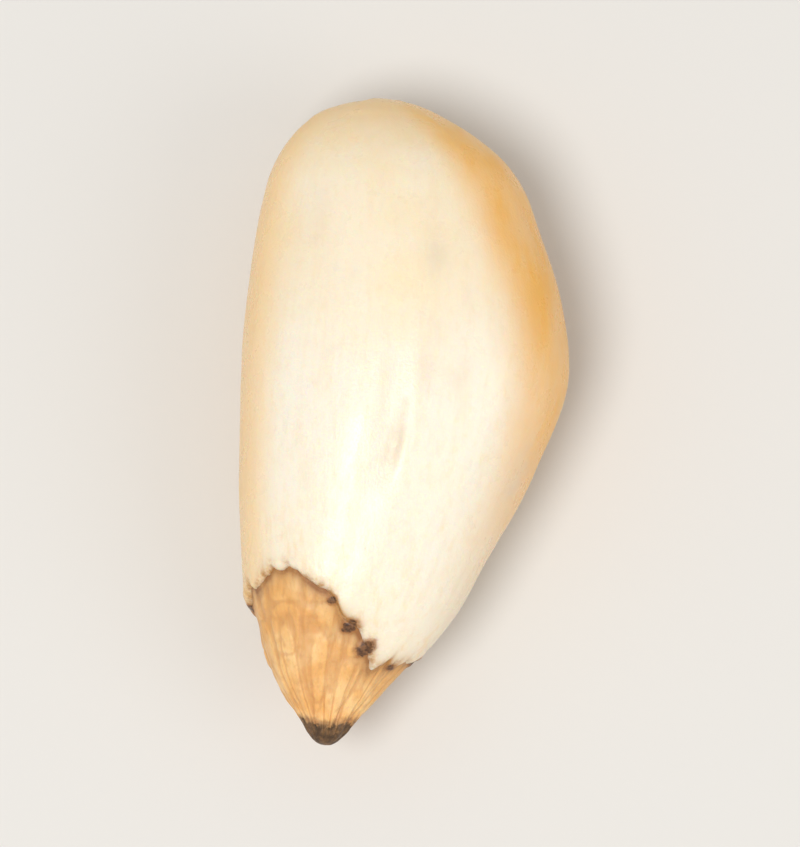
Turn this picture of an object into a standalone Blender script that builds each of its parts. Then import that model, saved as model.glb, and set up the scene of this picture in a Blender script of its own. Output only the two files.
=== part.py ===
"""A shelled pine nut lying on its flatter side.

The nut is two pieces: the ivory kernel, and the papery brown cap that wraps the small nipple at
its tip. Metres, +Z up. The tip points along -Y and the blunt end along +Y. The origin is the
middle of the small flat spot that the nut rests on. A station is a distance from the blunt end,
and an angle is measured round the nut's middle line from +X towards +Z.
"""

import math

import bmesh
import bpy
import numpy as np

MM = 0.001
FULL_TURN = 2 * math.pi

# Driving dimensions: the length, and where the middle line passes the rest spot
LENGTH = 13.5 * MM
REST_STATION = 5.90 * MM
REST_OFFSET = 0.75 * MM
REST_HEIGHT = 2.635 * MM

# The outline at each station: the sideways bow of the middle line, the half width, and the half
# thickness above and below the middle line
STATIONS = np.array([0.4, 1.2, 2.5, 4.0, 5.6, 7.5, 9.5, 11.0, 12.2, 13.1]) * MM
BOW = np.array([0.26, 0.50, 0.71, 0.93, 1.02, 0.82, 0.46, 0.22, 0.00, -0.03]) * MM
HALF_WIDTH = np.array([1.38, 2.32, 2.89, 3.24, 3.36, 3.02, 2.49, 1.98, 1.25, 0.54]) * MM
HALF_ABOVE = np.array([1.15, 1.95, 2.50, 2.80, 2.92, 2.72, 2.24, 1.76, 1.10, 0.49]) * MM
HALF_BELOW = np.array([1.05, 1.74, 2.22, 2.50, 2.62, 2.54, 2.16, 1.70, 1.06, 0.47]) * MM

# The cross-section is a slightly squared oval. Its blunt ridges and shallow creases run along
# the nut, each with its angle, middle station, half length, half width and height
SECTION_POWER = 2.15
RIDGES_AND_CREASES = (
    (math.radians(48), 4.6 * MM, 3.8 * MM, 0.80 * MM, 0.10 * MM),
    (math.radians(148), 7.0 * MM, 4.6 * MM, 0.90 * MM, 0.05 * MM),
    (math.radians(252), 6.1 * MM, 3.6 * MM, 0.95 * MM, 0.13 * MM),
    (math.radians(92), 7.1 * MM, 1.7 * MM, 0.30 * MM, -0.07 * MM),
    (math.radians(208), 6.5 * MM, 3.2 * MM, 0.55 * MM, -0.12 * MM),
    (math.radians(305), 7.4 * MM, 2.6 * MM, 0.45 * MM, -0.07 * MM),
)

# The torn edge of the ivory skin: its station at each angle, then its small teeth as waves a
# turn, height and phase, and the radius of its rounded lip
RIM_ANGLES = np.radians([11, 48, 73, 88, 104, 131, 168, 205, 250, 295, 335])
RIM_LINE = np.array([11.7, 11.9, 11.5, 11.1, 10.65, 10.2, 10.5, 10.9, 10.6, 10.8, 11.3]) * MM
RIM_TEETH = (
    (7, 0.060 * MM, 0.4),
    (11, 0.050 * MM, 2.1),
    (17, 0.035 * MM, 4.0),
)
RIM_LIP = 0.14 * MM

# The papery cap: how far its edge is sunk below the skin, its wall, its gap to the kernel, the
# end of the kernel's nipple inside it, its waist, its folds and the small nib at its point
CAP_SUNK = 0.12 * MM
CAP_WALL = 0.18 * MM
CAP_GAP = 0.06 * MM
NIPPLE_END = 12.45 * MM
CAP_WAIST = 0.07 * MM
CAP_FOLDS = (
    (5, 0.040 * MM, 1.3),
    (9, 0.035 * MM, 0.2),
    (14, 0.020 * MM, 2.6),
)
NIB_START = 12.75 * MM
NIB_STEP = 0.07 * MM
NIB_BLEND = 0.05 * MM

# Mesh counts
SEGMENTS = 80
BODY_RINGS = 30
LIP_RINGS = 3
NIPPLE_RINGS = 7
CAP_RINGS = 14

ANGLES = np.arange(SEGMENTS) * (FULL_TURN / SEGMENTS)


def curve_through(places, values, at):
    """A smooth curve through the values, level before the first place and after the last."""
    at = np.clip(at, places[0], places[-1])
    slopes = np.gradient(values, places)
    left = np.clip(np.searchsorted(places, at) - 1, 0, len(places) - 2)
    gap = places[left + 1] - places[left]
    t = (at - places[left]) / gap
    start = values[left] * (1 + 2 * t) + slopes[left] * gap * t
    end = values[left + 1] * (3 - 2 * t) + slopes[left + 1] * gap * (t - 1)
    return start * (1 - t) ** 2 + end * t**2


def roundness(station):
    """The half width of an ellipse as long as the nut, as a share of its largest."""
    share = np.clip(station / LENGTH, 0, 1)
    return 2 * np.sqrt(share * (1 - share))


def half_size(sizes, station):
    """The half size at a station. The ends come out round, because the ellipse's share is taken
    out before the curve is drawn and put back after it."""
    return curve_through(STATIONS, sizes / roundness(STATIONS), station) * roundness(station)


def outer_radius(station, angle):
    """The nut's radius from its middle line."""
    across = half_size(HALF_WIDTH, station)
    above = half_size(HALF_ABOVE, station)
    below = half_size(HALF_BELOW, station)
    upright = np.where(np.sin(angle) >= 0, above, below)
    squared = np.abs(np.cos(angle) * upright) ** SECTION_POWER
    squared = squared + np.abs(np.sin(angle) * across) ** SECTION_POWER
    radius = across * upright / np.maximum(squared, 1e-30) ** (1 / SECTION_POWER)
    relief = 0
    for middle_angle, middle, half_length, half_width, height in RIDGES_AND_CREASES:
        turned = (angle - middle_angle + math.pi) % FULL_TURN - math.pi
        aside = turned * radius / half_width
        along = (station - middle) / half_length
        relief = relief + height * np.exp(-(aside**2) - along**2)
    return radius + relief * roundness(station)


def waves(angle, terms):
    return sum(height * np.cos(count * angle + phase) for count, height, phase in terms)


def rim_station(angle):
    """How far from the blunt end the ivory skin is torn off, at each angle."""
    turns = np.concatenate([RIM_ANGLES - FULL_TURN, RIM_ANGLES, RIM_ANGLES + FULL_TURN])
    line = curve_through(turns, np.tile(RIM_LINE, 3), angle % FULL_TURN)
    return line + waves(angle, RIM_TEETH)


def eased(count):
    """Shares from 0 to 1 that crowd towards 1."""
    return np.sin(np.linspace(0, math.pi / 2, count + 1))


def dome(depth, gap):
    """The rings of a round-ended cone inside the tip, from the torn edge inwards: this depth
    under the nut's outline, and this gap further along."""
    start = rim_station(ANGLES) + gap
    rings = []
    for share in eased(NIPPLE_RINGS):
        station = start + (NIPPLE_END + gap - start) * share
        rounding = math.sqrt(max(0.0, 1 - share**4))
        rings.append((station, (outer_radius(station, ANGLES) - depth) * rounding))
    return rings


def kernel_rings():
    """The kernel's rings, from the nipple's end over the torn lip to the blunt end."""
    rim = rim_station(ANGLES)
    rings = dome(CAP_SUNK + CAP_WALL + CAP_GAP, 0)[::-1]
    for turn in np.linspace(0, math.pi / 2, LIP_RINGS + 1)[:-1]:
        station = rim - RIM_LIP * (1 - math.cos(turn))
        depth = RIM_LIP * (1 - math.sin(turn))
        rings.append((station, outer_radius(station, ANGLES) - depth))
    for share in np.linspace(0, 1, BODY_RINGS + 1):
        station = (rim - RIM_LIP) * (1 + math.cos(share * math.pi)) / 2
        rings.append((station, outer_radius(station, ANGLES)))
    return rings


def cap_rings():
    """The cap's rings: from its point up the outside to the torn edge, then down the inside."""
    edge = rim_station(ANGLES) + CAP_GAP
    outside = []
    for share in eased(CAP_RINGS):
        station = edge + (LENGTH - edge) * share
        sunk = CAP_SUNK * (1 - share) ** 2 + CAP_WAIST * 4 * share * (1 - share)
        folds = waves(ANGLES, CAP_FOLDS) * (1 - share) * math.sqrt(share)
        before_nib = 1 / (1 + np.exp((station - NIB_START) / NIB_BLEND))
        step = NIB_STEP * (1 - before_nib) * roundness(station)
        outside.append((station, outer_radius(station, ANGLES) - sunk + folds - step))
    return outside[::-1] + dome(CAP_SUNK + CAP_WALL, CAP_GAP)


def shaped_ball(name, rings, material, collection):
    """One closed body: a UV sphere whose rings move to these stations and radii."""
    ball = bmesh.new()
    bmesh.ops.create_uvsphere(ball, u_segments=SEGMENTS, v_segments=len(rings) - 1, radius=1)
    for vert in ball.verts:
        from_pole = math.acos(max(-1.0, min(1.0, vert.co.z)))
        ring = round(from_pole / math.pi * (len(rings) - 1))
        segment = round(math.atan2(vert.co.y, vert.co.x) / FULL_TURN * SEGMENTS) % SEGMENTS
        is_pole = ring in (0, len(rings) - 1)
        station = rings[ring][0][segment]
        radius = 0.0 if is_pole else rings[ring][1][segment]
        middle = curve_through(STATIONS, BOW, station) - REST_OFFSET
        vert.co.x = middle + radius * math.cos(ANGLES[segment])
        vert.co.y = REST_STATION - station
        vert.co.z = REST_HEIGHT + radius * math.sin(ANGLES[segment])
    bmesh.ops.recalc_face_normals(ball, faces=ball.faces)
    mesh = bpy.data.meshes.new(name)
    ball.to_mesh(mesh)
    ball.free()
    mesh.materials.append(material)
    mesh.shade_smooth()
    piece = bpy.data.objects.new(name, mesh)
    collection.objects.link(piece)
    return piece


def cut_rest_spot(piece):
    """Cuts the small flat spot that the nut rests on, at height 0."""
    ball = bmesh.new()
    ball.from_mesh(piece.data)
    bmesh.ops.bisect_plane(
        ball,
        geom=ball.verts[:] + ball.edges[:] + ball.faces[:],
        plane_co=(0, 0, 0),
        plane_no=(0, 0, 1),
        clear_inner=True,
    )
    open_edges = [edge for edge in ball.edges if edge.is_boundary]
    bmesh.ops.holes_fill(ball, edges=open_edges)
    ball.to_mesh(piece.data)
    ball.free()


def make_material(name, colour, roughness):
    material = bpy.data.materials.new(name)
    material.use_nodes = True
    shader = material.node_tree.nodes["Principled BSDF"]
    shader.inputs["Base Color"].default_value = (*colour, 1)
    shader.inputs["Roughness"].default_value = roughness
    shader.inputs["Metallic"].default_value = 0
    return material


def main():
    for old in list(bpy.data.objects):
        bpy.data.objects.remove(old)
    nut = bpy.data.collections.new("pine_nut")
    bpy.context.scene.collection.children.link(nut)
    ivory = make_material("ivory_kernel", (0.86, 0.70, 0.45), 0.42)
    papery = make_material("brown_cap", (0.50, 0.22, 0.07), 0.48)
    kernel = shaped_ball("kernel", kernel_rings(), ivory, nut)
    cut_rest_spot(kernel)
    shaped_ball("tip_cap", cap_rings(), papery, nut)


main()
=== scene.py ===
"""The looks of a shelled pine nut lying on its flatter side.

Two fine meshes stand for the frame's two solids: the ivory kernel with its torn skin edge, and
the crumpled brown cap at the tip. A station is a distance from the blunt end, which lies along
+Y, and an angle is measured round the nut's middle line from +X towards +Z.
"""

import math

import bmesh
import bpy
import numpy as np
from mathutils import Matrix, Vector


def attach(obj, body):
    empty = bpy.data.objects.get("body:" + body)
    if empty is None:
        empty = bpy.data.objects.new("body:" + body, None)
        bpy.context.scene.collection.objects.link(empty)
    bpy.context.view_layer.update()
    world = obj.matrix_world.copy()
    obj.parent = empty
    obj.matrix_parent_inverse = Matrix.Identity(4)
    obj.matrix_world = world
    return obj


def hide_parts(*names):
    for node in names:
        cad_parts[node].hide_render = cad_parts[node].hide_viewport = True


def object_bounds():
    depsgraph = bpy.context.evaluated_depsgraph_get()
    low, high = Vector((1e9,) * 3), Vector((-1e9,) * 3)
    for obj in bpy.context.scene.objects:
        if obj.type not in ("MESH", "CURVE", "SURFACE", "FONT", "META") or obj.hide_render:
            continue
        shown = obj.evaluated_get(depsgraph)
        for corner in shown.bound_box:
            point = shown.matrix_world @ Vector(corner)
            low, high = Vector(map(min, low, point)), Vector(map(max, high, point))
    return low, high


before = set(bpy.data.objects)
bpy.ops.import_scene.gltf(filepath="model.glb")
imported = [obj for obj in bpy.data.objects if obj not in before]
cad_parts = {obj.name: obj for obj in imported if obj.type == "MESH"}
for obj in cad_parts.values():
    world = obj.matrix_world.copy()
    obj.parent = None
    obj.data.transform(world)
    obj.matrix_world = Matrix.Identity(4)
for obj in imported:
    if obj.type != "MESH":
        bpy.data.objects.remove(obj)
cad_low, cad_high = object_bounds()

MM = 0.001
FULL_TURN = 2 * math.pi

# The nut's place, from the frame: its ends, and how its middle line passes the rest spot
LENGTH = cad_high.y - cad_low.y
BLUNT_END = cad_high.y
REST_OFFSET = 0.75 * MM
REST_HEIGHT = 2.635 * MM

# The outline at each station: the sideways bow of the middle line, the half width, and the half
# thickness above and below the middle line
STATIONS = np.array([0.4, 1.2, 2.5, 4.0, 5.6, 7.5, 9.5, 11.0, 12.2, 13.1]) * MM
BOW = np.array([0.26, 0.50, 0.71, 0.93, 1.02, 0.82, 0.46, 0.22, 0.00, -0.03]) * MM
HALF_WIDTH = np.array([1.38, 2.32, 2.89, 3.24, 3.36, 3.02, 2.49, 1.98, 1.25, 0.54]) * MM
HALF_ABOVE = np.array([1.15, 1.95, 2.50, 2.80, 2.92, 2.72, 2.24, 1.76, 1.10, 0.49]) * MM
HALF_BELOW = np.array([1.05, 1.74, 2.22, 2.50, 2.62, 2.54, 2.16, 1.70, 1.06, 0.47]) * MM
SECTION_POWER = 2.15

# Blunt ridges and shallow creases: angle, middle station, half length, half width and height
RIDGES_AND_CREASES = (
    (math.radians(48), 4.6 * MM, 3.8 * MM, 0.80 * MM, 0.10 * MM),
    (math.radians(148), 7.0 * MM, 4.6 * MM, 0.90 * MM, 0.05 * MM),
    (math.radians(252), 6.1 * MM, 3.6 * MM, 0.95 * MM, 0.13 * MM),
    (math.radians(92), 7.1 * MM, 1.7 * MM, 0.30 * MM, -0.07 * MM),
    (math.radians(208), 6.5 * MM, 3.2 * MM, 0.55 * MM, -0.12 * MM),
    (math.radians(305), 7.4 * MM, 2.6 * MM, 0.45 * MM, -0.07 * MM),
)

# The torn edge of the ivory skin: its station at each angle, its teeth as waves a turn, height
# and phase, and the radius of its rounded lip. The fine teeth come and go round the nut
RIM_ANGLES = np.radians([11, 48, 73, 88, 104, 131, 168, 205, 250, 295, 335])
RIM_LINE = np.array([11.7, 11.9, 11.5, 11.1, 10.65, 10.2, 10.5, 10.9, 10.6, 10.8, 11.3]) * MM
RIM_TEETH = (
    (7, 0.060 * MM, 0.4),
    (11, 0.050 * MM, 2.1),
    (17, 0.035 * MM, 4.0),
)
FINE_TEETH = (
    (29, 0.026 * MM, 1.1),
    (43, 0.020 * MM, 5.2),
    (64, 0.012 * MM, 3.0),
)
RIM_LIP = 0.14 * MM

# The papery cap: how far its edge is sunk below the skin, its wall, its gap to the kernel, how
# far its edge reaches under the skin, the end of the kernel's nipple inside it, its waist, its
# folds and the small nib at its point
CAP_SUNK = 0.12 * MM
CAP_WALL = 0.18 * MM
CAP_GAP = 0.06 * MM
CAP_TUCK = 0.04 * MM
NIPPLE_END = 12.45 * MM
CAP_WAIST = 0.07 * MM
CAP_FOLDS = (
    (5, 0.040 * MM, 1.3),
    (9, 0.035 * MM, 0.2),
    (14, 0.020 * MM, 2.6),
)
NIB_START = 12.75 * MM
NIB_STEP = 0.07 * MM
NIB_BLEND = 0.05 * MM

# Lattice noise: how many random numbers it holds, a start that keeps its cells above 0, and the
# factors that scatter the cells over the numbers
NOISE_COUNT = 8192
NOISE_START = 1000.0
NOISE_SCATTER = np.array([73856093, 19349663, 83492791])

# Noise in the ivory skin: height, size and seed, and where it runs lengthwise also the radius
# of the tube that it is drawn on and its stretch. Puckers and a lifted edge fade from the tear
SKIN_LUMPS = (
    (0.030 * MM, 2.4 * MM, 1),
    (0.012 * MM, 1.1 * MM, 2),
    (0.005 * MM, 0.45 * MM, 3),
)
SKIN_FLATS_AND_STREAKS = (
    (0.030 * MM, 1.25 * MM, 8, 2.6 * MM, 0.14),
    (0.005 * MM, 0.26 * MM, 4, 2.6 * MM, 0.10),
    (0.003 * MM, 0.13 * MM, 5, 2.6 * MM, 0.10),
)
PUCKERS = ((0.026 * MM, 0.40 * MM, 6, 2.2 * MM, 0.25),)
PUCKER_GRAIN = ((0.012 * MM, 0.20 * MM, 7),)
PUCKER_REACH = 0.8 * MM
LIFTED_EDGE = ((0.060 * MM, 0.34 * MM, 9, 1.8 * MM, 0.10),)
LIFTED_LEAST = -0.015 * MM
LIFTED_REACH = 0.16 * MM

# Shallow dents: angle, station, half width, half length and depth. The long one is a crease.
# They are painted greyish as shade, the more the deeper they are, and fully from the last depth
# on
DENTS = (
    (math.radians(86.5), 7.65 * MM, 0.17 * MM, 0.80 * MM, 0.046 * MM),
    (math.radians(76), 3.65 * MM, 0.32 * MM, 0.50 * MM, 0.018 * MM),
    (math.radians(79), 5.90 * MM, 0.26 * MM, 0.45 * MM, 0.016 * MM),
    (math.radians(66), 6.20 * MM, 0.22 * MM, 0.40 * MM, 0.014 * MM),
    (math.radians(128), 3.10 * MM, 0.40 * MM, 0.65 * MM, 0.012 * MM),
    (math.radians(20), 7.90 * MM, 0.45 * MM, 0.75 * MM, 0.025 * MM),
    (math.radians(190), 4.20 * MM, 0.50 * MM, 0.80 * MM, 0.022 * MM),
    (math.radians(330), 4.90 * MM, 0.45 * MM, 0.75 * MM, 0.020 * MM),
)
DENT_SHADE_FULL_DEPTH = 0.034 * MM

# Round pits and slanting scratches: how many, and their least and most
PIT_COUNT = 44
PIT_STATIONS = (0.9 * MM, 10.2 * MM)
PIT_HALF_WIDTHS = (0.04 * MM, 0.09 * MM)
PIT_DEPTHS = (0.008 * MM, 0.018 * MM)
SCRATCH_COUNT = 16
SCRATCH_STATIONS = (1.5 * MM, 9.8 * MM)
SCRATCH_SLANTS = (-0.6, 0.6)
SCRATCH_HALF_LENGTHS = (0.25 * MM, 0.70 * MM)
SCRATCH_HALF_WIDTHS = (0.04 * MM, 0.07 * MM)
SCRATCH_DEPTHS = (0.006 * MM, 0.013 * MM)

# The scar round the blunt end: a low ridge with a shallow groove past it
SCAR_STATION = 0.52 * MM
SCAR_SWING = 0.05 * MM
SCAR_ANGLE = math.radians(112)
SCAR_RIDGE = 0.010 * MM
SCAR_GROOVE = 0.008 * MM
SCAR_GROOVE_PAST = 0.13 * MM

# Raised dark bits of skin on the torn edge: angle, distance past the edge, half width, how many
# times longer they are along the edge, and height
DARK_BITS = (
    (math.radians(66), 0.07 * MM, 0.17 * MM, 1.1, 0.055 * MM),
    (math.radians(85), 0.07 * MM, 0.14 * MM, 1.2, 0.045 * MM),
    (math.radians(101), 0.06 * MM, 0.08 * MM, 1.6, 0.030 * MM),
    (math.radians(30), 0.06 * MM, 0.06 * MM, 2.6, 0.025 * MM),
    (math.radians(-4), 0.04 * MM, 0.13 * MM, 2.2, 0.045 * MM),
    (math.radians(186), 0.05 * MM, 0.13 * MM, 1.4, 0.040 * MM),
    (math.radians(221), 0.06 * MM, 0.06 * MM, 3.2, 0.025 * MM),
    (math.radians(247), 0.06 * MM, 0.12 * MM, 1.3, 0.040 * MM),
    (math.radians(306), 0.05 * MM, 0.07 * MM, 2.4, 0.030 * MM),
)

# The warmer side along +X, partly the nut's own tan and partly painted shade and warm bounce
# light: where it begins and is full at each station, as cosines of the angle
GOLDEN_SHADE_STATIONS = np.array([0.6, 1.6, 3.7, 6.0, 8.3, 10.0, 11.5]) * MM
GOLDEN_SHADE_BEGINS = np.array([0.14, 0.28, 0.42, 0.54, 0.66, 0.72, 0.80])
GOLDEN_SHADE_FULL = np.array([0.64, 0.72, 0.86, 0.97, 1.15, 1.45, 1.80])

# How far the other colours reach
# The brown along the torn edge is partly a stain and partly a painted shadow of the lip
TORN_KERNEL_FROM = 0.04 * MM
TORN_KERNEL_REACH = 0.10 * MM
TORN_CAP_FROM = 0.07 * MM
TORN_CAP_REACH = 0.15 * MM
TIP_REACH = 1.3 * MM
# The blunt end's colour, partly its own yellow and partly painted shade, reaches this far
BLUNT_AND_SHADE_REACH = 0.95 * MM
# Painted light: the kernel is painted paler from here towards the tip, where the key light falls
# brightest
PAINTED_LIGHT_FROM = 3.2 * MM
PAINTED_LIGHT_FULL = 7.0 * MM
DARK_POINT = 0.45 * MM
DARK_POINT_SWING = 0.17 * MM

# The cap's crumpling: the radius of the tube that its noise is drawn on, the stretches of the
# lengthwise and the slanting noise, its thin valleys, each with its size, seed and width in the
# noise, and then the heights and depths
CAP_GIRTH = 1.5 * MM
LENGTHWISE_STRETCH = 0.22
SLANTING_STRETCH = 0.55
PLEATS = (0.38 * MM, 21, 0.30)
CREASES = (0.52 * MM, 22, 0.24)
WRINKLES = (0.24 * MM, 24, 0.35)
PUFF_HEIGHT = 0.026 * MM
PLEAT_DEPTH = 0.030 * MM
CREASE_DEPTH = 0.026 * MM
WRINKLE_DEPTH = 0.012 * MM
CAP_GRAIN_HEIGHT = 0.006 * MM

# Mesh counts, and where on its half turn the skin's rings begin, so that they don't crowd at the
# torn edge
KERNEL_SEGMENTS = 380
SKIN_RINGS = 196
LIP_RINGS = 6
NIPPLE_RINGS = 14
CAP_SEGMENTS = 320
CAP_RINGS = 120
SKIN_START = 0.4

# Colours of the ivory flesh
CREAM = (0.95, 0.79, 0.54)
IVORY = (0.95, 0.83, 0.65)
# Painted light: the paler colour of the half towards the tip, where the light falls brightest
PAINTED_LIGHT_PALE = (0.94, 0.89, 0.79)
STREAK = (0.88, 0.68, 0.42)
GRAIN = (0.86, 0.70, 0.46)
MOTTLE = (0.82, 0.74, 0.64)
# Partly the nut's own tan, partly painted shade and warm bounce light on the side along +X
GOLDEN_AND_PAINTED_SHADE = (0.94, 0.48, 0.08)
# Painted shade: the warm, darker band along the left edge, where the side turns away from the
# light
LEFT_EDGE_PAINTED_SHADE = (0.98, 0.60, 0.22)
# Painted shade: the warmer, darker lower side of the nut, where little light reaches
UNDERSIDE_PAINTED_SHADE = (0.88, 0.54, 0.20)
# Partly the blunt end's own yellow, partly painted shade where the end turns away from the light
BLUNT_AND_PAINTED_SHADE = (0.98, 0.60, 0.20)
# Painted shade: the greyish colour in the dents
DENT_PAINTED_SHADE = (0.72, 0.62, 0.49)
TIP = (0.93, 0.77, 0.50)
TIP_STREAK = (0.88, 0.62, 0.34)
# Brown along the torn edge of the skin: partly a stain, partly a painted shadow under the lip
TORN_KERNEL_STAIN_AND_SHADOW = (0.46, 0.22, 0.065)

# Colours of the cap and of the dark bits
TAN = (0.84, 0.45, 0.15)
LIGHT_TAN = (0.93, 0.60, 0.27)
FIBRE = (0.58, 0.27, 0.09)
# Painted shade: the darker colour in the cap's folds
FOLD_PAINTED_SHADE = (0.52, 0.23, 0.08)
BLOTCH = (0.50, 0.22, 0.09)
# Brown along the cap's torn edge: partly a stain, partly a painted shadow of the skin's lip
TORN_CAP_STAIN_AND_SHADOW = (0.33, 0.14, 0.045)
SCORCHED = (0.28, 0.13, 0.05)
POINT_DARK = (0.07, 0.036, 0.014)
POINT_LIGHT = (0.19, 0.10, 0.04)
FRINGE = (0.40, 0.17, 0.05)
BIT_DARK = (0.07, 0.03, 0.014)
BIT_LIGHT = (0.22, 0.10, 0.04)

# The room: the floor, the lights' names, places, widths, powers and colours, and the camera
FLOOR_HALF_SIZE = 2.0
FLOOR_COLOUR = (0.75, 0.74, 0.72, 1)
LIGHTS = (
    ("key", (-0.07, -0.09, 0.32), 0.13, 0.63, (1.0, 0.985, 0.96)),
    ("fill", (0.20, -0.10, 0.20), 0.20, 0.14, (1.0, 0.96, 0.90)),
)
ROOM_COLOUR = (1.0, 0.985, 0.96, 1)
ROOM_STRENGTH = 0.52
CAMERA_AZIMUTH = math.radians(4.16)
CAMERA_ELEVATION = math.radians(80)
CAMERA_DISTANCE = 0.22
FRAME_HEIGHT = 17.4 * MM
SENSOR_WIDTH = 36


def curve_through(places, values, at):
    """A smooth curve through the values, level before the first place and after the last."""
    at = np.clip(at, places[0], places[-1])
    slopes = np.gradient(values, places)
    left = np.clip(np.searchsorted(places, at) - 1, 0, len(places) - 2)
    gap = places[left + 1] - places[left]
    t = (at - places[left]) / gap
    start = values[left] * (1 + 2 * t) + slopes[left] * gap * t
    end = values[left + 1] * (3 - 2 * t) + slopes[left + 1] * gap * (t - 1)
    return start * (1 - t) ** 2 + end * t**2


def smooth_step(value, low, high):
    t = np.clip((value - low) / (high - low), 0, 1)
    return t * t * (3 - 2 * t)


def bell(distance, half_width):
    return np.exp(-((distance / half_width) ** 2))


def fading(distance, reach):
    """1 up to distance 0, and then ever less."""
    return np.exp(-np.maximum(distance, 0) / reach)


def angle_between(angle, other):
    return (angle - other + math.pi) % FULL_TURN - math.pi


def noise(points, size, seed):
    """Smooth lattice noise from -1 to 1 at each point, with features of about this size."""
    numbers = np.random.default_rng(seed).uniform(-1, 1, NOISE_COUNT)
    place = points / size + NOISE_START
    cell = np.floor(place).astype(np.int64)
    t = place - cell
    t = t * t * t * (t * (t * 6 - 15) + 10)
    total = np.zeros(points.shape[:-1])
    for corner in np.ndindex(2, 2, 2):
        key = (cell + np.array(corner)) @ NOISE_SCATTER
        share = np.prod(np.where(np.array(corner) == 1, t, 1 - t), axis=-1)
        total += numbers[(key ^ (key >> 13)) % len(numbers)] * share
    return total


def unrolled(angle, station, girth, stretch):
    """Points on a tube of this radius, for noise that runs lengthwise along the nut."""
    round_tube = np.stack([np.cos(angle), np.sin(angle)], axis=-1) * girth
    return np.concatenate([round_tube, station[..., None] * stretch], axis=-1)


def lumps(points, terms):
    return sum(height * noise(points, size, seed) for height, size, seed in terms)


def long_lumps(angle, station, terms):
    return sum(
        height * noise(unrolled(angle, station, girth, stretch), size, seed)
        for height, size, seed, girth, stretch in terms
    )


def roundness(station):
    """The half width of an ellipse as long as the nut, as a share of its largest."""
    share = np.clip(station / LENGTH, 0, 1)
    return 2 * np.sqrt(share * (1 - share))


def half_size(sizes, station):
    return curve_through(STATIONS, sizes / roundness(STATIONS), station) * roundness(station)


def outer_radius(station, angle):
    """The nut's radius from its middle line."""
    across = half_size(HALF_WIDTH, station)
    above = half_size(HALF_ABOVE, station)
    below = half_size(HALF_BELOW, station)
    upright = np.where(np.sin(angle) >= 0, above, below)
    squared = np.abs(np.cos(angle) * upright) ** SECTION_POWER
    squared = squared + np.abs(np.sin(angle) * across) ** SECTION_POWER
    radius = across * upright / np.maximum(squared, 1e-30) ** (1 / SECTION_POWER)
    relief = 0
    for middle_angle, middle, half_length, half_width, height in RIDGES_AND_CREASES:
        aside = angle_between(angle, middle_angle) * radius / half_width
        along = (station - middle) / half_length
        relief = relief + height * np.exp(-(aside**2) - along**2)
    return radius + relief * roundness(station)


def waves(angle, terms):
    return sum(height * np.cos(count * angle + phase) for count, height, phase in terms)


def rim_station(angle):
    """How far from the blunt end the ivory skin is torn off, at each angle."""
    turns = np.concatenate([RIM_ANGLES - FULL_TURN, RIM_ANGLES, RIM_ANGLES + FULL_TURN])
    line = curve_through(turns, np.tile(RIM_LINE, 3), angle % FULL_TURN)
    return line + waves(angle, RIM_TEETH) + waves(angle, FINE_TEETH) * (1 + np.sin(3 * angle)) / 2


def eased(count):
    """Shares from 0 to 1 that crowd towards 1."""
    return np.sin(np.linspace(0, math.pi / 2, count + 1))


def turn_angles(segments):
    return np.arange(segments) * (FULL_TURN / segments)


def dome(angles, depth, gap):
    """The rings of a round-ended cone inside the tip, from the torn edge inwards."""
    start = rim_station(angles) + gap
    rings = []
    for share in eased(NIPPLE_RINGS):
        station = start + (NIPPLE_END + gap - start) * share
        rounding = math.sqrt(max(0.0, 1 - share**4))
        rings.append((station, (outer_radius(station, angles) - depth) * rounding))
    return rings


def stations_and_radii(rings):
    return np.array([ring[0] for ring in rings]), np.array([ring[1] for ring in rings])


def points_at(station, angle, radius):
    """The points at these stations, angles and radii."""
    middle = curve_through(STATIONS, BOW, station) - REST_OFFSET
    x = middle + radius * np.cos(angle)
    y = BLUNT_END - station
    z = REST_HEIGHT + radius * np.sin(angle)
    return np.stack([x, y, z], axis=-1)


def outward(points):
    """The unit normal at each point of a loft that runs from pole to pole."""
    along = np.gradient(points, axis=0)
    across = np.roll(points, -1, axis=1) - np.roll(points, 1, axis=1)
    normal = np.cross(along, across)
    normal[0] = normal[1].mean(axis=0)
    normal[-1] = normal[-2].mean(axis=0)
    normal /= np.maximum(np.linalg.norm(normal, axis=-1, keepdims=True), 1e-30)
    middle = points.mean(axis=(0, 1))
    return normal * np.sign(np.sum(normal * (points - middle)))


def raised(points, relief):
    """The loft with its points moved outwards by the relief."""
    relief = relief.copy()
    relief[0] = relief[1].mean()
    relief[-1] = relief[-2].mean()
    return points + outward(points) * relief[..., None]


def one_for_each_vertex(grid):
    """The loft's values in a row, with one for each pole."""
    inner = grid[1:-1].reshape(-1, *grid.shape[2:])
    return np.concatenate([grid[0, :1], inner, grid[-1, :1]])


def loft_faces(rings, segments):
    """The faces between the rings, and the fans at the two poles."""
    here = np.arange(segments)
    after = (here + 1) % segments
    ring = np.arange(rings - 3)[:, None] * segments + 1
    corners = [ring + here, ring + after, ring + segments + after, ring + segments + here]
    sides = np.stack(corners, axis=-1).reshape(-1, 4)
    last = (rings - 2) * segments + 1
    first_fan = np.stack([0 * here, here + 1, after + 1], axis=-1)
    last_fan = np.stack([0 * here, here - segments, after - segments], axis=-1) + last
    return first_fan.tolist() + sides.tolist() + last_fan.tolist()


def face_outwards(mesh):
    shape = bmesh.new()
    shape.from_mesh(mesh)
    bmesh.ops.recalc_face_normals(shape, faces=shape.faces)
    shape.to_mesh(mesh)
    shape.free()
    mesh.update()


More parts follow.
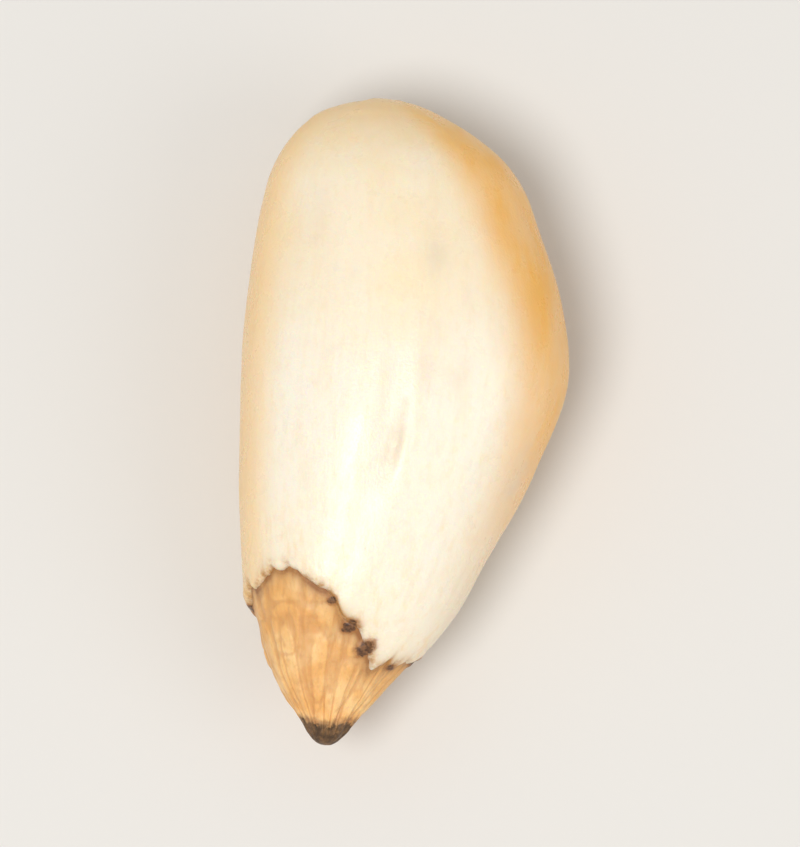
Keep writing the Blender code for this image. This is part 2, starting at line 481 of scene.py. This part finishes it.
def closed_loft(name, points, masks):
    """A closed mesh through rings of points, whose first and last rings are poles, with a float
    attribute for each mask."""
    mesh = bpy.data.meshes.new(name)
    mesh.from_pydata(one_for_each_vertex(points), [], loft_faces(*points.shape[:2]))
    for mask_name, mask in masks.items():
        attribute = mesh.attributes.new(mask_name, "FLOAT", "POINT")
        attribute.data.foreach_set("value", one_for_each_vertex(mask).astype(np.float32))
    face_outwards(mesh)
    mesh.shade_smooth()
    piece = bpy.data.objects.new(name, mesh)
    bpy.context.scene.collection.objects.link(piece)
    return piece


def dents(station, angle, radius):
    """How deep the dents are at each point."""
    depths = np.zeros(station.shape)
    for dent_angle, dent_station, half_width, half_length, depth in DENTS:
        aside = angle_between(angle, dent_angle) * radius / half_width
        along = (station - dent_station) / half_length
        depths += depth * np.exp(-(aside**2) - along**2)
    return depths


def pits(station, angle, radius):
    """Small round pits all over the skin."""
    draw = np.random.default_rng(11)
    relief = np.zeros(station.shape)
    for _ in range(PIT_COUNT):
        pit_angle = draw.uniform(0, FULL_TURN)
        pit_station = draw.uniform(*PIT_STATIONS)
        half_width = draw.uniform(*PIT_HALF_WIDTHS)
        depth = draw.uniform(*PIT_DEPTHS)
        aside = angle_between(angle, pit_angle) * radius
        relief -= depth * bell(np.hypot(aside, (station - pit_station) * 0.7), half_width)
    return relief


def scratches(station, angle, radius):
    """Short shallow grooves at a slant."""
    draw = np.random.default_rng(5)
    relief = np.zeros(station.shape)
    for _ in range(SCRATCH_COUNT):
        middle_angle = draw.uniform(0, FULL_TURN)
        middle_station = draw.uniform(*SCRATCH_STATIONS)
        slant = draw.uniform(*SCRATCH_SLANTS)
        half_length = draw.uniform(*SCRATCH_HALF_LENGTHS)
        half_width = draw.uniform(*SCRATCH_HALF_WIDTHS)
        depth = draw.uniform(*SCRATCH_DEPTHS)
        aside = angle_between(angle, middle_angle) * radius
        ahead = station - middle_station
        along = ahead * math.cos(slant) + aside * math.sin(slant)
        across = aside * math.cos(slant) - ahead * math.sin(slant)
        bend = 0.12 * along**2 / half_length
        relief -= depth * bell(across + bend, half_width) * bell(along, half_length) ** 2
    return relief


def scar(station, angle):
    """The faint uneven line round the upper side of the blunt end."""
    line = SCAR_STATION + SCAR_SWING * np.sin(3 * angle + 0.6)
    share = smooth_step(np.cos(angle - SCAR_ANGLE), 0.2, 0.9)
    share = share * (0.6 + 0.4 * np.sin(7 * angle))
    ridge = SCAR_RIDGE * bell(station - line, 0.07 * MM)
    groove = SCAR_GROOVE * bell(station - line - SCAR_GROOVE_PAST, 0.08 * MM)
    return share * (ridge - groove)


def dark_bits(station, angle, radius):
    """How dark the torn edge is, from 0 to 1, and how far its bits stand up."""
    darkness = np.zeros(station.shape)
    raised_by = np.zeros(station.shape)
    for bit_angle, past_edge, half_width, stretch, height in DARK_BITS:
        aside = angle_between(angle, bit_angle) * radius / stretch
        ahead = station - rim_station(np.array(bit_angle)) - past_edge
        share = bell(np.hypot(aside, ahead), half_width)
        darkness += share
        raised_by += height * smooth_step(share, 0.2, 0.8)
    return np.clip(darkness, 0, 1), raised_by


def skin_relief(points, station, angle, radius, to_rim):
    """The fine relief of the ivory skin: broad lumps, soft lengthwise flats and streaks, puckers
    towards the torn edge, which lifts in places, and then the dents and the small marks."""
    relief = lumps(points, SKIN_LUMPS) + long_lumps(angle, station, SKIN_FLATS_AND_STREAKS)
    puckers = long_lumps(angle, station, PUCKERS) + lumps(points, PUCKER_GRAIN)
    relief += fading(to_rim, PUCKER_REACH) * puckers
    lifted = np.maximum(long_lumps(angle, station, LIFTED_EDGE), LIFTED_LEAST)
    relief += fading(to_rim, LIFTED_REACH) * lifted
    relief -= dents(station, angle, radius)
    relief += pits(station, angle, radius) + scratches(station, angle, radius)
    return relief + scar(station, angle)


# The side along +X, partly the nut's own tan and partly painted shade and warm bounce light
def golden_and_shaded_side(station, angle):
    begins = curve_through(GOLDEN_SHADE_STATIONS, GOLDEN_SHADE_BEGINS, station)
    full = curve_through(GOLDEN_SHADE_STATIONS, GOLDEN_SHADE_FULL, station)
    return smooth_step(np.cos(angle), begins, full)


def kernel_rings(angles):
    """The kernel's rings, from the nipple's end over the torn lip to the blunt end, and how many
    of them come before the skin."""
    rim = rim_station(angles)
    rings = dome(angles, CAP_SUNK + CAP_WALL + CAP_GAP, 0)[::-1]
    for turn in np.linspace(0, math.pi / 2, LIP_RINGS + 1)[:-1]:
        station = rim - RIM_LIP * (1 - math.cos(turn))
        depth = RIM_LIP * (1 - math.sin(turn))
        rings.append((station, outer_radius(station, angles) - depth))
    before_skin = len(rings)
    for turn in np.linspace(SKIN_START, math.pi, SKIN_RINGS + 1):
        station = (rim - RIM_LIP) * (1 + math.cos(turn)) / (1 + math.cos(SKIN_START))
        rings.append((station, outer_radius(station, angles)))
    return rings, before_skin


def make_kernel():
    angles = turn_angles(KERNEL_SEGMENTS)
    rings, before_skin = kernel_rings(angles)
    station, radius = stations_and_radii(rings)
    angle = np.broadcast_to(angles, station.shape)
    to_rim = rim_station(angles) - station
    # No relief on the nipple inside the cap, and ever more of it over the lip
    shown = np.ones(station.shape)
    shown[: before_skin - LIP_RINGS] = 0
    shown[before_skin - LIP_RINGS : before_skin] = np.linspace(0.3, 1, LIP_RINGS)[:, None]
    points = points_at(station, angle, radius)
    relief = skin_relief(points, station, angle, radius, to_rim)
    darkness, raised_by = dark_bits(station, angle, radius)
    points = raised(points, (relief + raised_by) * shown)
    # The flat spot that the nut rests on
    points[..., 2] = np.maximum(points[..., 2], 0)
    masks = {
        # Brown along the torn edge: partly a stain, partly a painted shadow under the lip
        "torn": fading(to_rim - TORN_KERNEL_FROM, TORN_KERNEL_REACH),
        "tip": fading(to_rim, TIP_REACH),
        "dark": darkness,
        # The side along +X, partly the nut's own tan and partly painted shade and warm bounce
        # light
        "golden": golden_and_shaded_side(station, angle),
        # Painted shade: a warm, darker band along the left edge, where the side turns away from
        # the light
        "left_edge_painted_shade": smooth_step(-np.cos(angle), 0.70, 1.0),
        # Painted shade: warmer and darker on the lower side of the nut, where little light
        # reaches
        "underside_painted_shade": smooth_step(-np.sin(angle), 0.0, 0.8),
        # Painted shade: grey in the dents, the more the deeper they are
        "dent_painted_shade": np.clip(dents(station, angle, radius) / DENT_SHADE_FULL_DEPTH, 0, 1),
        # Partly the blunt end's own yellow, partly painted shade where the end turns away from
        # the light
        "blunt": bell(station, BLUNT_AND_SHADE_REACH),
        # Painted light: paler towards the tip, where the key light falls brightest
        "pale": smooth_step(station, PAINTED_LIGHT_FROM, PAINTED_LIGHT_FULL),
    }
    return closed_loft("kernel_fine", points, masks)


def cap_rings(angles):
    """The cap's rings, from its point up the outside to the torn edge and down the inside, and
    how many of them are outside."""
    edge = rim_station(angles) - CAP_TUCK
    outside = []
    for share in np.linspace(0, 1, CAP_RINGS + 1) ** 0.9:
        station = edge + (LENGTH - edge) * share
        sunk = CAP_SUNK * (1 - share) ** 2 + CAP_WAIST * 4 * share * (1 - share)
        folds = waves(angles, CAP_FOLDS) * (1 - share) * math.sqrt(share)
        before_nib = 1 / (1 + np.exp(np.clip((station - NIB_START) / NIB_BLEND, -30, 30)))
        step = NIB_STEP * (1 - before_nib) * roundness(station)
        outside.append((station, outer_radius(station, angles) - sunk + folds - step))
    return outside[::-1] + dome(angles, CAP_SUNK + CAP_WALL, -CAP_TUCK), len(outside)


def valleys(points, size, seed, width):
    """Thin winding lines, 1 in their middle, where the noise passes 0."""
    return 1 - smooth_step(np.abs(noise(points, size, seed)), 0, width)


def crumpling(points, station, angle, from_edge):
    """The cap's relief, and a mask of its folds, where the cap is painted darker as shade."""
    lengthwise = unrolled(angle, station, CAP_GIRTH, LENGTHWISE_STRETCH)
    slanting = unrolled(angle, station, CAP_GIRTH, SLANTING_STRETCH)
    pleats = valleys(lengthwise, *PLEATS)
    creases = valleys(slanting, *CREASES)
    wrinkles = valleys(slanting, *WRINKLES)
    puffs = noise(points, 0.55 * MM, 25)
    grain = noise(points, 0.11 * MM, 23)
    crumpled = smooth_step(from_edge, 0, 0.22 * MM)
    crumpled = crumpled * smooth_step(LENGTH - station, 0.02 * MM, 0.35 * MM)
    relief = PUFF_HEIGHT * puffs - PLEAT_DEPTH * pleats
    relief = relief - CREASE_DEPTH * creases - WRINKLE_DEPTH * wrinkles
    relief = crumpled * relief + smooth_step(from_edge, 0, 0.1 * MM) * CAP_GRAIN_HEIGHT * grain
    return relief, crumpled * np.clip(0.9 * pleats + 0.8 * creases + 0.4 * wrinkles, 0, 1)


def make_cap():
    angles = turn_angles(CAP_SEGMENTS)
    rings, outside_count = cap_rings(angles)
    station, radius = stations_and_radii(rings)
    angle = np.broadcast_to(angles, station.shape)
    points = points_at(station, angle, radius)
    from_edge = station - rim_station(angles)
    relief, folds = crumpling(points, station, angle, from_edge)
    darkness, raised_by = dark_bits(station, angle, radius)
    relief += raised_by
    # The cap is smooth inside
    relief[outside_count:] = 0
    dark_from = DARK_POINT + DARK_POINT_SWING * np.cos(angle) ** 2
    to_point = LENGTH - station
    masks = {
        # Brown along the cap's torn edge: partly a stain, partly a painted shadow of the skin's
        # lip
        "torn": fading(from_edge - TORN_CAP_FROM, TORN_CAP_REACH),
        "dark": darkness,
        "point": 1 - smooth_step(to_point, dark_from - 0.30 * MM, dark_from + 0.16 * MM),
        # Painted shade: the cap darker in its folds
        "fold_painted_shade": folds,
    }
    return closed_loft("tip_cap_fine", raised(points, relief), masks)


class Nodes:
    """A material's node tree, with short calls for the nodes that the looks use."""

    def __init__(self, name):
        self.material = bpy.data.materials.new(name)
        self.material.use_nodes = True
        self.tree = self.material.node_tree
        self.shader = self.tree.nodes["Principled BSDF"]
        self.place = self.tree.nodes.new("ShaderNodeTexCoord").outputs["Object"]

    def link(self, output, socket):
        self.tree.links.new(output, socket)

    def set(self, **values):
        for name, value in values.items():
            self.shader.inputs[name.replace("_", " ")].default_value = value

    def mask(self, name):
        node = self.tree.nodes.new("ShaderNodeAttribute")
        node.attribute_name = name
        return node.outputs["Fac"]

    def cloud(self, size, detail=4.0, roughness=0.55, scale=(1, 1, 1)):
        """Noise with features of this size in metres."""
        mapping = self.tree.nodes.new("ShaderNodeMapping")
        mapping.inputs["Scale"].default_value = scale
        self.link(self.place, mapping.inputs["Vector"])
        node = self.tree.nodes.new("ShaderNodeTexNoise")
        node.inputs["Scale"].default_value = 1 / size
        node.inputs["Detail"].default_value = detail
        node.inputs["Roughness"].default_value = roughness
        self.link(mapping.outputs["Vector"], node.inputs["Vector"])
        return node.outputs["Fac"]

    def remap(self, value, low, high, least=0.0, most=1.0):
        node = self.tree.nodes.new("ShaderNodeMapRange")
        node.interpolation_type = "SMOOTHSTEP"
        node.inputs["From Min"].default_value = low
        node.inputs["From Max"].default_value = high
        node.inputs["To Min"].default_value = least
        node.inputs["To Max"].default_value = most
        self.link(value, node.inputs["Value"])
        return node.outputs["Result"]

    def product(self, first, second):
        node = self.tree.nodes.new("ShaderNodeMath")
        node.operation = "MULTIPLY"
        for socket, value in zip(node.inputs, (first, second)):
            if isinstance(value, float):
                socket.default_value = value
            else:
                self.link(value, socket)
        return node.outputs["Value"]

    def mix(self, factor, first, second):
        node = self.tree.nodes.new("ShaderNodeMix")
        node.data_type = "RGBA"
        self.link(factor, node.inputs["Factor"])
        # The mix node's colour sockets are inputs 6 and 7 and output 2
        for socket, colour in zip((node.inputs[6], node.inputs[7]), (first, second)):
            if isinstance(colour, tuple):
                socket.default_value = (*colour, 1)
            else:
                self.link(colour, socket)
        return node.outputs[2]

    def masked(self, mask_name, share, below, above):
        """The colour below, with this share of the one above where the mask is full."""
        return self.mix(self.product(self.mask(mask_name), share), below, above)

    def ragged(self, mask_name, size, low, high):
        """A mask with a crisp, uneven edge."""
        uneven = self.remap(self.cloud(size), 0.3, 0.7, 0.7, 1.3)
        return self.remap(self.product(self.mask(mask_name), uneven), low, high)

    def with_dark_bits(self, colour):
        """The colour with the dark bits of the torn edge and their brown fringes."""
        fringe = self.product(self.ragged("dark", 0.12 * MM, 0.08, 0.40), 0.75)
        colour = self.mix(fringe, colour, FRINGE)
        grain = self.remap(self.cloud(0.09 * MM), 0.35, 0.65)
        dark = self.mix(grain, BIT_DARK, BIT_LIGHT)
        return self.mix(self.ragged("dark", 0.10 * MM, 0.35, 0.65), colour, dark)

    def bump(self, height, distance, strength, below=None):
        node = self.tree.nodes.new("ShaderNodeBump")
        node.inputs["Distance"].default_value = distance
        node.inputs["Strength"].default_value = strength
        self.link(height, node.inputs["Height"])
        if below is not None:
            self.link(below, node.inputs["Normal"])
        return node.outputs["Normal"]

    def finish(self, colour, normal, roughness):
        self.link(colour, self.shader.inputs["Base Color"])
        self.link(normal, self.shader.inputs["Normal"])
        self.link(roughness, self.shader.inputs["Roughness"])
        return self.material


def ivory_material():
    """Oily ivory flesh: cream and white clouds with lengthwise streaks, grain and mottles,
    painted light that makes the half towards the tip paler, a golden side along +X that is partly
    the nut's own tan and partly painted shade and warm bounce light, painted shade along the left
    edge, on the lower side and in the dents, a blunt end that is partly its own yellow and partly
    painted shade, and brown along the torn edge that is partly a stain and partly a painted
    shadow."""
    nodes = Nodes("ivory_kernel_look")
    colour = nodes.mix(nodes.remap(nodes.cloud(2.6 * MM), 0.32, 0.62), CREAM, IVORY)
    # Painted light: the half towards the tip painted paler, where the key light falls brightest
    colour = nodes.masked("pale", 0.75, colour, PAINTED_LIGHT_PALE)
    streaks = nodes.remap(nodes.cloud(0.30 * MM, 5.0, 0.6, (1, 0.12, 1)), 0.45, 0.75, 0, 0.22)
    colour = nodes.mix(streaks, colour, STREAK)
    grain = nodes.remap(nodes.cloud(0.16 * MM, 3.0, 0.6, (1, 0.5, 1)), 0.50, 0.72, 0, 0.20)
    colour = nodes.mix(grain, colour, GRAIN)
    mottle = nodes.remap(nodes.cloud(0.55 * MM, 3.0), 0.55, 0.75, 0, 0.22)
    colour = nodes.mix(mottle, colour, MOTTLE)
    # The side along +X, partly the nut's own tan and partly painted shade and warm bounce light
    uneven = nodes.remap(nodes.cloud(0.90 * MM, 5.0, 0.6, (1, 0.35, 1)), 0.30, 0.65, 0.76, 1.0)
    colour = nodes.masked("golden", uneven, colour, GOLDEN_AND_PAINTED_SHADE)
    # Painted shade: a warm, darker band along the left edge, where the side turns away from the
    # light
    colour = nodes.masked("left_edge_painted_shade", 0.80, colour, LEFT_EDGE_PAINTED_SHADE)
    # Painted shade: the lower side of the nut painted warmer and darker, where little light
    # reaches
    colour = nodes.masked("underside_painted_shade", 0.55, colour, UNDERSIDE_PAINTED_SHADE)
    # Partly the blunt end's own yellow, partly painted shade where the end turns away from the
    # light
    colour = nodes.masked("blunt", 0.80, colour, BLUNT_AND_PAINTED_SHADE)
    # Painted shade in the dents: greyer the deeper they are
    greyish = nodes.remap(nodes.cloud(0.40 * MM), 0.30, 0.65, 0.35, 0.75)
    colour = nodes.masked("dent_painted_shade", greyish, colour, DENT_PAINTED_SHADE)
    colour = nodes.masked("tip", 0.35, colour, TIP)
    tip_streaks = nodes.remap(nodes.cloud(0.20 * MM, 4.0, 0.6, (1, 0.2, 1)), 0.50, 0.70, 0, 0.5)
    colour = nodes.masked("tip", tip_streaks, colour, TIP_STREAK)
    # Brown along the torn edge: partly a stain, partly a painted shadow under the lip
    ragged = nodes.remap(nodes.cloud(0.60 * MM, 6.0, 0.65), 0.40, 0.60, 0.20, 1.0)
    colour = nodes.masked("torn", ragged, colour, TORN_KERNEL_STAIN_AND_SHADOW)
    colour = nodes.with_dark_bits(colour)
    fine = nodes.bump(nodes.cloud(0.06 * MM, 3.0, 0.6), 0.010 * MM, 0.6)
    lines = nodes.cloud(0.16 * MM, 4.0, 0.6, (1, 0.10, 1))
    roughness = nodes.remap(nodes.cloud(0.8 * MM), 0.3, 0.7, 0.24, 0.36)
    nodes.set(Subsurface_Weight=0.40, Subsurface_Scale=0.45 * MM, IOR=1.46)
    nodes.set(Subsurface_Radius=(1.0, 0.55, 0.25), Specular_Tint=(1.0, 0.93, 0.82, 1))
    return nodes.finish(colour, nodes.bump(lines, 0.015 * MM, 0.5, fine), roughness)


def papery_material():
    """Dry papery skin: orange tan with fibres and blotches, folds painted darker as shade, a
    brown torn edge that is partly a stain and partly a painted shadow of the lip, and a dark
    point."""
    nodes = Nodes("brown_cap_look")
    colour = nodes.mix(nodes.remap(nodes.cloud(0.7 * MM), 0.35, 0.65), TAN, LIGHT_TAN)
    fibres = nodes.remap(nodes.cloud(0.10 * MM, 5.0, 0.65, (1, 0.16, 1)), 0.45, 0.75, 0, 0.45)
    colour = nodes.mix(fibres, colour, FIBRE)
    # Painted shade: the cap painted darker in its folds
    colour = nodes.mix(nodes.remap(nodes.mask("fold_painted_shade"), 0.3, 1.0, 0, 0.38), colour, FOLD_PAINTED_SHADE)
    blotches = nodes.remap(nodes.cloud(0.42 * MM, 6.0, 0.65), 0.52, 0.75, 0, 0.35)
    colour = nodes.mix(blotches, colour, BLOTCH)
    # Brown along the cap's torn edge: partly a stain, partly a painted shadow of the skin's lip
    ragged = nodes.remap(nodes.cloud(0.70 * MM, 6.0, 0.65), 0.35, 0.60, 0.50, 1.0)
    colour = nodes.masked("torn", ragged, colour, TORN_CAP_STAIN_AND_SHADOW)
    colour = nodes.with_dark_bits(colour)
    scorched = nodes.product(nodes.ragged("point", 0.12 * MM, 0.15, 0.55), 0.7)
    colour = nodes.mix(scorched, colour, SCORCHED)
    burnt = nodes.remap(nodes.cloud(0.14 * MM), 0.35, 0.65)
    dark_point = nodes.mix(burnt, POINT_DARK, POINT_LIGHT)
    colour = nodes.mix(nodes.ragged("point", 0.12 * MM, 0.50, 0.78), colour, dark_point)
    fine = nodes.bump(nodes.cloud(0.045 * MM, 3.0, 0.6), 0.010 * MM, 0.6)
    lines = nodes.cloud(0.09 * MM, 4.0, 0.6, (1, 0.14, 1))
    roughness = nodes.remap(nodes.cloud(0.4 * MM), 0.3, 0.7, 0.36, 0.58)
    nodes.set(Subsurface_Weight=0.25, Subsurface_Scale=0.25 * MM, IOR=1.45)
    nodes.set(Subsurface_Radius=(1.0, 0.45, 0.15))
    return nodes.finish(colour, nodes.bump(lines, 0.020 * MM, 0.7, fine), roughness)


def make_floor():
    """A plain pale floor that the nut rests on."""
    shape = bmesh.new()
    bmesh.ops.create_grid(shape, x_segments=1, y_segments=1, size=FLOOR_HALF_SIZE)
    mesh = bpy.data.meshes.new("floor")
    shape.to_mesh(mesh)
    shape.free()
    floor = bpy.data.objects.new("floor", mesh)
    bpy.context.scene.collection.objects.link(floor)
    material = bpy.data.materials.new("pale_floor")
    material.use_nodes = True
    shader = material.node_tree.nodes["Principled BSDF"]
    shader.inputs["Base Color"].default_value = FLOOR_COLOUR
    shader.inputs["Roughness"].default_value = 0.8
    mesh.materials.append(material)


def aim(thing, place, direction):
    """Puts a lamp or the camera at a place, looking along a direction."""
    thing.location = place
    thing.rotation_mode = "QUATERNION"
    thing.rotation_quaternion = direction.to_track_quat("-Z", "Y")
    bpy.context.scene.collection.objects.link(thing)


def make_lights(target):
    """A soft key from the left and a little from the tip, a weak fill from the right, and a pale
    room all round."""
    for name, place, size, power, colour in LIGHTS:
        light = bpy.data.lights.new(name, "AREA")
        light.shape = "DISK"
        light.size = size
        light.energy = power
        light.color = colour
        lamp = bpy.data.objects.new(name, light)
        lamp.visible_camera = False
        aim(lamp, Vector(place), target - Vector(place))
    world = bpy.data.worlds.new("pale_room")
    world.use_nodes = True
    background = world.node_tree.nodes["Background"]
    background.inputs["Color"].default_value = ROOM_COLOUR
    background.inputs["Strength"].default_value = ROOM_STRENGTH
    bpy.context.scene.world = world
    bpy.context.scene.view_settings.view_transform = "Standard"


def make_camera(target):
    """Nearly straight down, with a long lens, as the photograph was taken."""
    sideways = math.sin(CAMERA_AZIMUTH) * math.cos(CAMERA_ELEVATION)
    backwards = math.cos(CAMERA_AZIMUTH) * math.cos(CAMERA_ELEVATION)
    to_camera = Vector((sideways, -backwards, math.sin(CAMERA_ELEVATION)))
    data = bpy.data.cameras.new("camera")
    data.sensor_width = SENSOR_WIDTH
    data.lens = SENSOR_WIDTH * CAMERA_DISTANCE / FRAME_HEIGHT
    data.clip_start = 0.01
    data.clip_end = 10
    camera = bpy.data.objects.new("camera", data)
    aim(camera, target + to_camera * CAMERA_DISTANCE, -to_camera)
    bpy.context.scene.camera = camera


def dress(piece, material, node):
    """Gives a piece its material, and puts it in the place of the frame's node."""
    piece.data.materials.append(material)
    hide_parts(node)
    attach(piece, "root")


centre = (cad_low + cad_high) / 2
make_camera(centre)
make_lights(centre)
make_floor()
dress(make_kernel(), ivory_material(), "kernel")
dress(make_cap(), papery_material(), "tip_cap")
